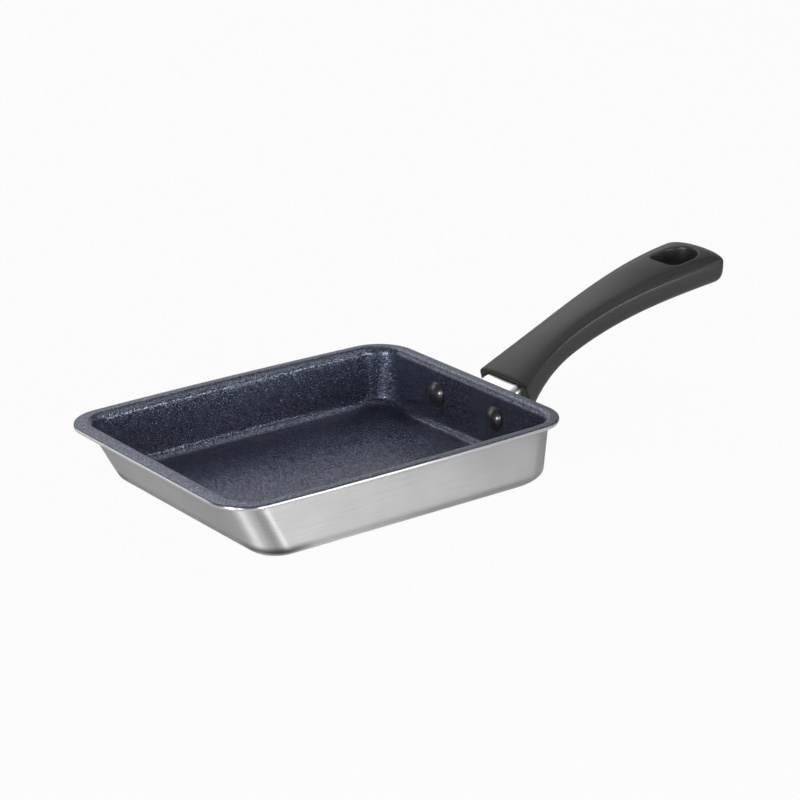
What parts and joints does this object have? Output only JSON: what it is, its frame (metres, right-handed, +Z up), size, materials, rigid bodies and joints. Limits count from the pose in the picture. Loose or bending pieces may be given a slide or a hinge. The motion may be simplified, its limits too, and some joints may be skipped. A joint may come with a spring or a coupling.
{
  "type": "rectangular omelette pan",
  "caption": "Shallow rectangular pan with a flared far wall, a rolled lip, a dark non-stick inside, a riveted bracket and an upswept grip with a hanging hole.",
  "frame": {"origin": "middle of the flat base, on the table", "axes": "+X along the handle away from the pan, +Z up out of the pan, +Y across it"},
  "size_m": [0.304, 0.1338, 0.0639],
  "materials": {
    "satin_aluminium": "satin, polished in fine lines round the walls",
    "nonstick": "dark blue-black film with fine metallic flakes",
    "polished_steel": "polished stainless sheet",
    "coated_rivet": "black film, half gloss",
    "grip_plastic": "dark grey phenolic, fine matt texture",
    "plated_steel": "zinc plated"
  },
  "bodies": {
    "root": {"pan_body": "satin_aluminium", "nonstick_coating": "nonstick", "handle_bracket": "polished_steel", "rivet_left": "coated_rivet", "rivet_right": "coated_rivet", "handle_grip": "grip_plastic", "handle_screw": "plated_steel", "spring_washer": "plated_steel", "flat_washer": "plated_steel", "weld_nut": "plated_steel"}
  },
  "joints": []
}
